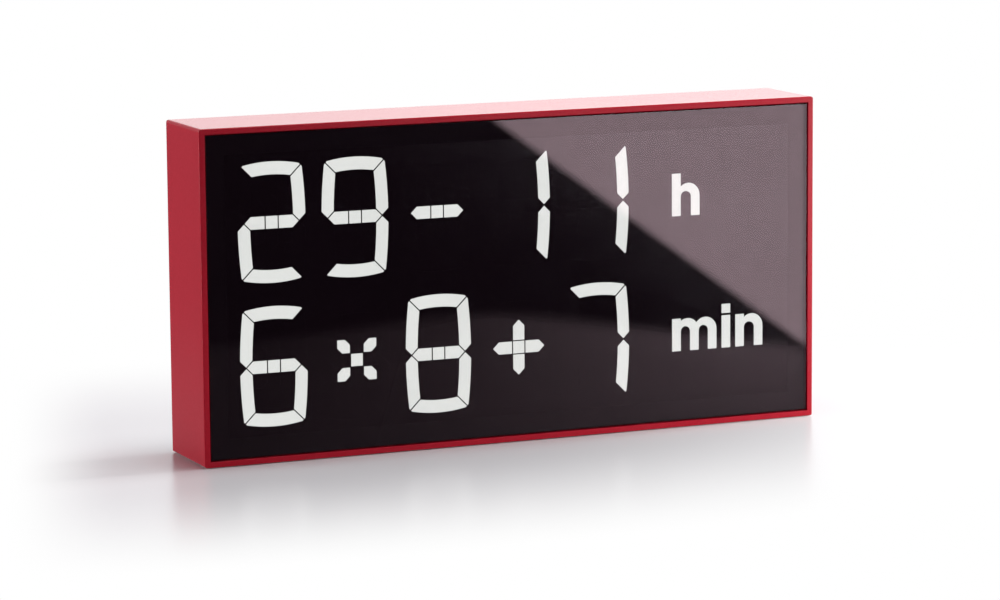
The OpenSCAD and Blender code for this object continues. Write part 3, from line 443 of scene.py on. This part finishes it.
# %% Copy the screw to each post
POST_X, TURN_X, TURN_Z = 56.0, 37, 11
mid_z = (screws_low.z + screws_high.z) / 2
half_x = screws_high.x - HEAD_R * MM
half_z = (screws_high.z - screws_low.z) / 2 - HEAD_R * MM
first = screw.verts[:] + screw.edges[:] + screw.faces[:]
for x in (-half_x, -POST_X * MM, POST_X * MM, half_x):
    for z in (mid_z - half_z, mid_z + half_z):
        points = points_of(bmesh.ops.duplicate(screw, geom=first)["geom"])
        turn = Matrix.Rotation(TURN_X * x + TURN_Z * z, 3, "Y")
        bmesh.ops.rotate(screw, cent=(0, 0, 0), matrix=turn, verts=points)
        bmesh.ops.translate(screw, vec=(x, 0, z), verts=points)
bmesh.ops.delete(screw, geom=points_of(first), context="VERTS")
make_piece(screw, "cross_head_screws", "zinc_steel", stands_for=["cover_screws"])

# %% [markdown]
# ## The signs on the cover
# A sign above each button says what it does: a dial with a short hand for the hour, one with a long hand for
# the minute, rising bars for how hard the sums are, and a sun for the brightness. A line over three dashes
# stands for direct current. They are pad printed, so they are flat faces first, and one extrusion then gives
# them all the thickness of a layer of ink. Letters would need a font, and signs are read everywhere.

# %% Draw bars and discs on the cover
SIGN_R, SIGN_LINE = 3.0, 0.5
cover_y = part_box("rear_cover")[1].y
signs = bmesh.new()


def sign_place(x, z, turn=0.0):
    """A place on the cover in millimetres, turned in degrees, where local X and Y lie in the cover."""
    return (Matrix.Translation((x * MM, cover_y, z * MM)) @ Matrix.Rotation(radians(turn), 4, "Y")
            @ Matrix.Rotation(-pi / 2, 4, "X"))


def bar(x, z, length, width=SIGN_LINE, turn=0.0):
    """A flat bar of the signs. It is upright, unless it is turned."""
    size = Matrix.Diagonal((width * MM, length * MM, 1, 1))
    bmesh.ops.create_grid(signs, x_segments=1, y_segments=1, size=0.5, matrix=sign_place(x, z, turn) @ size)


def disc(x, z, radius, line=None):
    """A flat disc of the signs, or a ring with a line width."""
    points = bmesh.ops.create_circle(signs, cap_ends=True, segments=AROUND, radius=radius * MM,
                                     matrix=sign_place(x, z))["verts"]
    if line:
        face = points[0].link_faces[0]
        bmesh.ops.inset_region(signs, faces=[face], thickness=line * MM, use_boundary=True)
        bmesh.ops.delete(signs, geom=[face], context="FACES_ONLY")


# %% Model the signs
SIGN_UP = 9.5
HANDS = (("hour", 1.6, 90), ("minute", 2.3, 0))
BAR_STEP, BAR_W = 1.9, 1.2
SUN_R, RAYS, RAY_AT, RAY_L = 1.3, 8, 2.4, 1.1
centres = {name: (at[0] / MM, at[1] / MM + SIGN_UP) for name, at in button_places.items()}
for name, length, turn in HANDS:
    x, z = centres[name]
    disc(x, z, SIGN_R, SIGN_LINE)
    bar(x - length / 2 * sin(radians(turn)), z + length / 2 * cos(radians(turn)), length, turn=turn)
x, z = centres["level"]
for step in (-1, 0, 1):
    height = SIGN_R * 2 * (2 + step) / 3
    bar(x - step * BAR_STEP, z - SIGN_R + height / 2, height, BAR_W)
x, z = centres["brightness"]
disc(x, z, SUN_R)
for i in range(RAYS):
    turn = 360 / RAYS * i
    bar(x + RAY_AT * sin(radians(turn)), z + RAY_AT * cos(radians(turn)), RAY_L, turn=turn)
print(len(signs.faces), "flat faces")

# %% Print the signs
PRINT, DC_UP, DC_L, DASH_L, DASH_STEP, DC_GAP = 0.02, 5.0, 7.0, 1.6, 2.7, 1.5
SIGN_SHARP = 30
socket_low, socket_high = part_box("power_socket")
dc_z = socket_low.z / MM + DC_UP
bar(0, dc_z, DC_L, turn=90)
for step in (-1, 0, 1):
    bar(step * DASH_STEP, dc_z - DC_GAP, DASH_L, turn=90)
raised = bmesh.ops.extrude_face_region(signs, geom=signs.faces[:])["geom"]
bmesh.ops.translate(signs, vec=(0, PRINT * MM, 0), verts=points_of(raised))
bmesh.ops.recalc_face_normals(signs, faces=signs.faces)
make_piece(signs, "cover_signs", "sign_ink", sharp=SIGN_SHARP)

# %% [markdown]
# ## The power socket
# The socket looks down into the well. Its shell is drawn from nickel plated sheet, and a black tongue inside
# carries gold plated contacts on both sides. One solid with one finish can't show that. A circle pulled apart
# to both sides gives the shell's outline, an inset gives its wall, and two extrusions give the mouth and the
# outside.

# %% Model the shell of the socket
SHELL, MOUTH, SOCKET_SIDES = 0.3, 6.2, 32
half_w, half_t = (socket_high.x - socket_low.x) / 2, (socket_high.y - socket_low.y) / 2
socket_y = (socket_low.y + socket_high.y) / 2
shell = bmesh.new()
place = Matrix.Translation((0, socket_y, socket_low.z)) @ Matrix.Rotation(pi / SOCKET_SIDES, 4, "Z")
bmesh.ops.create_circle(shell, cap_ends=True, segments=SOCKET_SIDES, radius=half_t, matrix=place)
for side in (-1, 1):
    half = [v for v in shell.verts if v.co.x * side > 0]
    bmesh.ops.translate(shell, vec=(side * (half_w - half_t), 0, 0), verts=half)
mouth = shell.faces[:][0]
bmesh.ops.inset_region(shell, faces=[mouth], thickness=SHELL * MM, use_boundary=True, use_even_offset=True)
outer = [e for e in shell.edges if e.is_boundary]
floor = bmesh.ops.extrude_face_region(shell, geom=[mouth])["geom"]
bmesh.ops.translate(shell, vec=(0, 0, MOUTH * MM), verts=points_of(floor))
bmesh.ops.delete(shell, geom=[mouth], context="FACES_ONLY")
wall = bmesh.ops.extrude_edge_only(shell, edges=outer)["geom"]
bmesh.ops.translate(shell, vec=(0, 0, socket_high.z - socket_low.z), verts=points_of(wall))
bmesh.ops.holes_fill(shell, edges=[e for e in shell.edges if e.is_boundary])
bmesh.ops.recalc_face_normals(shell, faces=shell.faces)
make_piece(shell, "socket_shell", "nickel_shell", stands_for=["power_socket"])

# %% Model the tongue and its contacts
TONGUE, TONGUE_EDGE = (6.7, 0.7, 4.6), 0.15
CONTACTS, CONTACT, CONTACT_STEP, CONTACT_EDGE = 6, (0.45, 0.06, 3.6), 0.95, 0.02
tongue_mid = Vector((0, socket_y, socket_low.z + (MOUTH - TONGUE[2] / 2) * MM))


def brick(shape, size, mid):
    """Adds a box to a bmesh, with its size in millimetres."""
    points = bmesh.ops.create_cube(shape, size=MM)["verts"]
    bmesh.ops.scale(shape, vec=size, verts=points)
    bmesh.ops.translate(shape, vec=mid, verts=points)


tongue = bmesh.new()
brick(tongue, TONGUE, tongue_mid)
bmesh.ops.bevel(tongue, geom=tongue.edges[:], offset=TONGUE_EDGE * MM, offset_type="OFFSET", affect="EDGES",
                segments=2, profile=0.5, material=-1)
make_piece(tongue, "socket_tongue", "chip_resin")
contacts = bmesh.new()
for i in range(CONTACTS):
    for side in (-1, 1):
        across = (i - (CONTACTS - 1) / 2) * CONTACT_STEP * MM
        brick(contacts, CONTACT, tongue_mid + Vector((across, side * TONGUE[1] / 2 * MM, 0)))
bmesh.ops.bevel(contacts, geom=contacts.edges[:], offset=CONTACT_EDGE * MM, offset_type="OFFSET",
                affect="EDGES", segments=1, profile=0.5, material=-1)
make_piece(contacts, "socket_contacts", "contact_gold")

# %% [markdown]
# ## The studio
# The clock stands on a pale satin table in front of a white background. The table is one large face. A satin
# table mirrors the clock softly at this low angle.

# %% The table
TABLE = 4.0
floor_shape = bmesh.new()
bmesh.ops.create_grid(floor_shape, x_segments=1, y_segments=1, size=TABLE / 2)
floor_mesh = bpy.data.meshes.new("table")
floor_shape.to_mesh(floor_mesh)
floor_shape.free()
table = bpy.data.objects.new("table", floor_mesh)
bpy.context.collection.objects.link(table)
material = bpy.data.materials.new("pale_satin_table")
material.use_nodes = True
tree = material.node_tree
shader = tree.nodes["Principled BSDF"]
shader.inputs["Base Color"].default_value = linear("#dbdadc")
shader.inputs["Roughness"].default_value = 0.27
shader.inputs["Specular IOR Level"].default_value = 0.22
table.data.materials.append(material)
print("table", TABLE, "m wide")

# %% [markdown]
# ## The table's edges
# The glossy front mirrors a corner of the table, and past its edges the room is dark. A smaller face would
# end in the picture too, so the face stays large, and past the edges it lets every ray but the camera's
# through to the room. What the front mirrors of the table also grows darker towards the left. That is a
# painted shade for the shadow that lies on the table there, made by letting a share of the mirrored rays
# through to the dark room.

# %% Edges for every ray but the camera's
# An edge is a point on it, the way out over it, and half the width of its soft zone.
FRONT = (0.162, -0.429), (-0.277, -0.961), 0.03
CORNER = (0.148, -0.438), (0.877, -0.48), 0.035
REAR = (0, 0.3), (0, 1), 0.25
SIDEWAYS, SHADE_FROM, SHADE_TO, DEEPEST_SHADE = (0.914, 0.406, 0), -0.15, 0.11, 0.78
where = add(tree, "ShaderNodeTexCoord").outputs["Object"]
light = add(tree, "ShaderNodeLightPath").outputs
camera_ray = light["Is Camera Ray"]


def within(point, outward, soft):
    """1 on the table and 0 past an edge of it."""
    side = add(tree, "ShaderNodeVectorMath", {"operation": "DOT_PRODUCT"},
               _0=where, _1=(*outward, 0)).outputs["Value"]
    line = point[0] * outward[0] + point[1] * outward[1]
    return add(tree, "ShaderNodeMapRange", {"interpolation_type": "SMOOTHSTEP"}, Value=side,
               _1=line - soft, _2=line + soft, _3=1.0, _4=0.0).outputs[0]


mirrored = add(tree, "ShaderNodeMath", {"operation": "ADD"},
               _0=light["Is Glossy Ray"], _1=light["Is Transmission Ray"]).outputs[0]
# Painted shade: towards the left a share of the mirrored rays passes through the table to the dark room,
# standing in for the shadow on the table there.
sideways = add(tree, "ShaderNodeVectorMath", {"operation": "DOT_PRODUCT"},
               _0=where, _1=SIDEWAYS).outputs["Value"]
shade_to_left = add(tree, "ShaderNodeMapRange", Value=sideways,
              _1=SHADE_FROM, _2=SHADE_TO, _3=DEEPEST_SHADE, _4=0.0).outputs[0]
mirrored_shade = add(tree, "ShaderNodeMath", {"operation": "MULTIPLY"}, _0=mirrored, _1=shade_to_left).outputs[0]
kept = add(tree, "ShaderNodeMath", {"operation": "SUBTRACT"}, _0=1.0, _1=mirrored_shade).outputs[0]
for edge in (FRONT, CORNER, REAR):
    kept = add(tree, "ShaderNodeMath", {"operation": "MULTIPLY"}, _0=kept, _1=within(*edge)).outputs[0]
lost = add(tree, "ShaderNodeMath", {"operation": "SUBTRACT"}, _0=1.0, _1=kept).outputs[0]
unseen = add(tree, "ShaderNodeMath", {"operation": "SUBTRACT"}, _0=1.0, _1=camera_ray).outputs[0]
open_part = add(tree, "ShaderNodeMath", {"operation": "MULTIPLY"}, _0=lost, _1=unseen).outputs[0]
print("edges with", len(tree.nodes), "nodes")

# %% [markdown]
# ## The table's fade
# The picture shows the table only near the clock. Further out, and past a line on the left, it is as white as
# the background. A brighter lamp would also bleach the shadow. So the camera sees the table fade to plain
# white in an oval round the clock.

# %% Fade for the camera
LEFT = (-0.235, 0), (-0.956, 0.292), 0.028
OVAL_MID, OVAL_TURN, OVAL_SIZE, FADE_FROM = (-0.147, 0.023, 0), (0, 0, -0.061), (0.629, 0.285, 1), 0.262
oval = add(tree, "ShaderNodeMapping", {"vector_type": "TEXTURE"}, Vector=where,
           Location=OVAL_MID, Rotation=OVAL_TURN, Scale=OVAL_SIZE).outputs[0]
away = add(tree, "ShaderNodeVectorMath", {"operation": "LENGTH"}, _0=oval).outputs["Value"]
near = add(tree, "ShaderNodeMapRange", {"interpolation_type": "SMOOTHSTEP"}, Value=away,
           _1=FADE_FROM, _2=1.0, _3=1.0, _4=0.0).outputs[0]
shown = add(tree, "ShaderNodeMath", {"operation": "MULTIPLY"}, _0=near, _1=within(*LEFT)).outputs[0]
fade = add(tree, "ShaderNodeMath", {"operation": "SUBTRACT"}, _0=1.0, _1=shown).outputs[0]
white = add(tree, "ShaderNodeMath", {"operation": "MULTIPLY"}, _0=fade, _1=camera_ray).outputs[0]
glow = add(tree, "ShaderNodeEmission", Color=(1, 1, 1, 1), Strength=1.0).outputs[0]
clear = add(tree, "ShaderNodeBsdfTransparent").outputs[0]
mixed = add(tree, "ShaderNodeMixShader", _0=white, _1=shader.outputs[0], _2=glow).outputs[0]
mixed = add(tree, "ShaderNodeMixShader", _0=open_part, _1=mixed, _2=clear).outputs[0]
tree.links.new(mixed, tree.nodes["Material Output"].inputs["Surface"])
print("table material with", len(tree.nodes), "nodes")

# %% [markdown]
# ## The room
# The camera sees plain white. Everything else sees a room: bright behind the clock and dark in front of it,
# as the photographer's side is, with one large soft light in front on the right. Its straight edge crosses
# the glossy front as a diagonal. A lamp would do for the light, but a pattern in the world gives an edge that
# lies where the photo has it. Both are products of ramps along the directions of the room.

# %% Ramps of the room
# A ramp is what it runs over, its curve, where it starts and ends, and its values there.
ROOM = (
    ("Y", "SMOOTHSTEP", -0.35, 0.45, 0.05, 1.0),  # dark in front, bright behind
    ("Z", "SMOOTHSTEP", -0.1, 0.0, 0.35, 1.0),  # dim below
    ("Z", "SMOOTHSTEP", 0.15, 0.6, 1.45, 0.6),  # dimmer towards the ceiling
    ("X", "LINEAR", -0.1, 0.5, 0.32, 1.27),  # brighter to the right
)
SOFT_LIGHT = (
    ("edge", "SMOOTHSTEP", -0.0023, 0.0007, 0.0, 1.0),  # the diagonal
    ("edge", "SMOOTHSTEP", 0.048, 0.055, 1.0, 0.0),  # the side across from it
    ("X", "SMOOTHSTEP", 0.34, 0.36, 0.0, 1.0),  # the left end
    ("X", "SMOOTHSTEP", 0.48, 0.5, 1.0, 0.0),  # the right end
    ("Y", "LINEAR", -0.7, -0.65, 1.0, 0.0),  # only in front
)
EDGE_NORMAL = (0.578, 0.1547, 0.8012)
world = bpy.data.worlds.new("studio")
bpy.context.scene.world = world
world.use_nodes = True
sky = world.node_tree
way = add(sky, "ShaderNodeTexCoord").outputs["Generated"]
parts = add(sky, "ShaderNodeSeparateXYZ", Vector=way).outputs
ways = {axis: parts[axis] for axis in "XYZ"}
ways["edge"] = add(sky, "ShaderNodeVectorMath", {"operation": "DOT_PRODUCT"},
                   _0=way, _1=EDGE_NORMAL).outputs["Value"]


def product(ramps):
    """Ramps of the room, multiplied with one another."""
    total = None
    for over, curve, start, end, first_value, last_value in ramps:
        ramp = add(sky, "ShaderNodeMapRange", {"interpolation_type": curve}, Value=ways[over],
                   _1=start, _2=end, _3=first_value, _4=last_value).outputs[0]
        total = ramp if total is None else add(
            sky, "ShaderNodeMath", {"operation": "MULTIPLY"}, _0=total, _1=ramp).outputs[0]
    return total


room, lit = product(ROOM), product(SOFT_LIGHT)
print("ramps with", len(sky.nodes), "nodes")

# %% World
BRIGHT, HAZE = (3.3, 3.3, 3.3), (0.035, 0.016, 0.036)
soft_light = add(sky, "ShaderNodeVectorMath", {"operation": "MULTIPLY"}, _0=lit, _1=BRIGHT).outputs[0]
around = add(sky, "ShaderNodeVectorMath", {"operation": "ADD"}, _0=room, _1=soft_light).outputs[0]
around = add(sky, "ShaderNodeVectorMath", {"operation": "ADD"}, _0=around, _1=HAZE).outputs[0]
path = add(sky, "ShaderNodeLightPath").outputs["Is Camera Ray"]
seen = add(sky, "ShaderNodeMix", {"data_type": "RGBA"}, _0=path, _6=around, _7=(1, 1, 1, 1)).outputs[2]
sky.links.new(seen, sky.nodes["Background"].inputs["Color"])
print("room with", len(sky.nodes), "nodes")

# %% [markdown]
# ## Lamps and camera
# Four soft lamps do the rest. One hangs overhead and lights the table. One hangs high on the right, in line
# with the clock, and throws the shadow on the left. A low one at the left rear lights the left side of the
# case. A small one stands near the right front corner, so that the rim of the case is brighter on that side.
# It keeps out of what the front mirrors. The camera has a long lens, so the edges of the box run nearly
# parallel.

# %% Lamps
AIM = Vector((0, 0, 0.08))


def softbox(name, place, size, watts):
    """A square lamp that looks at the middle of the clock."""
    lamp = bpy.data.lights.new(name, "AREA")
    lamp.size, lamp.energy = size, watts
    holder = bpy.data.objects.new(name, lamp)
    holder.location = place
    holder.rotation_euler = (AIM - Vector(place)).to_track_quat("-Z", "Y").to_euler()
    bpy.context.collection.objects.link(holder)
    print(name, "lamp of", watts, "W")


softbox("overhead", (0.05, -0.15, 1.3), 0.4, 5.2)
softbox("right_side", (1.1, -0.02, 1.2), 0.25, 13.8)
softbox("left_rear", (-1.2, 0.35, 0.14), 0.5, 7.8)
softbox("right_front", (0.45, -0.33, 0.07), 0.14, 1.6)

# %% Camera
AZIMUTH, ELEVATION, ROLL = radians(-23.3506), radians(8.7330), radians(-0.4474)
TARGET, DISTANCE, LENS, SENSOR = Vector((-0.00959, -0.025, 0.07435)), 2.09016, 147.596, 36
camera = bpy.data.objects.new("camera", bpy.data.cameras.new("camera"))
bpy.context.collection.objects.link(camera)
back = Vector((sin(AZIMUTH) * cos(ELEVATION), -cos(AZIMUTH) * cos(ELEVATION), sin(ELEVATION)))
right = Vector((0, 0, 1)).cross(back).normalized()
upright = Matrix((right, back.cross(right), back)).transposed()
rolled = upright @ Matrix.Rotation(ROLL, 3, "Z")
camera.matrix_world = Matrix.LocRotScale(TARGET + back * DISTANCE, rolled, None)
camera.data.lens = LENS
camera.data.sensor_width = SENSOR
bpy.context.scene.camera = camera
bpy.context.scene.view_settings.view_transform = "Standard"
print("camera at", [round(v, 3) for v in camera.location])
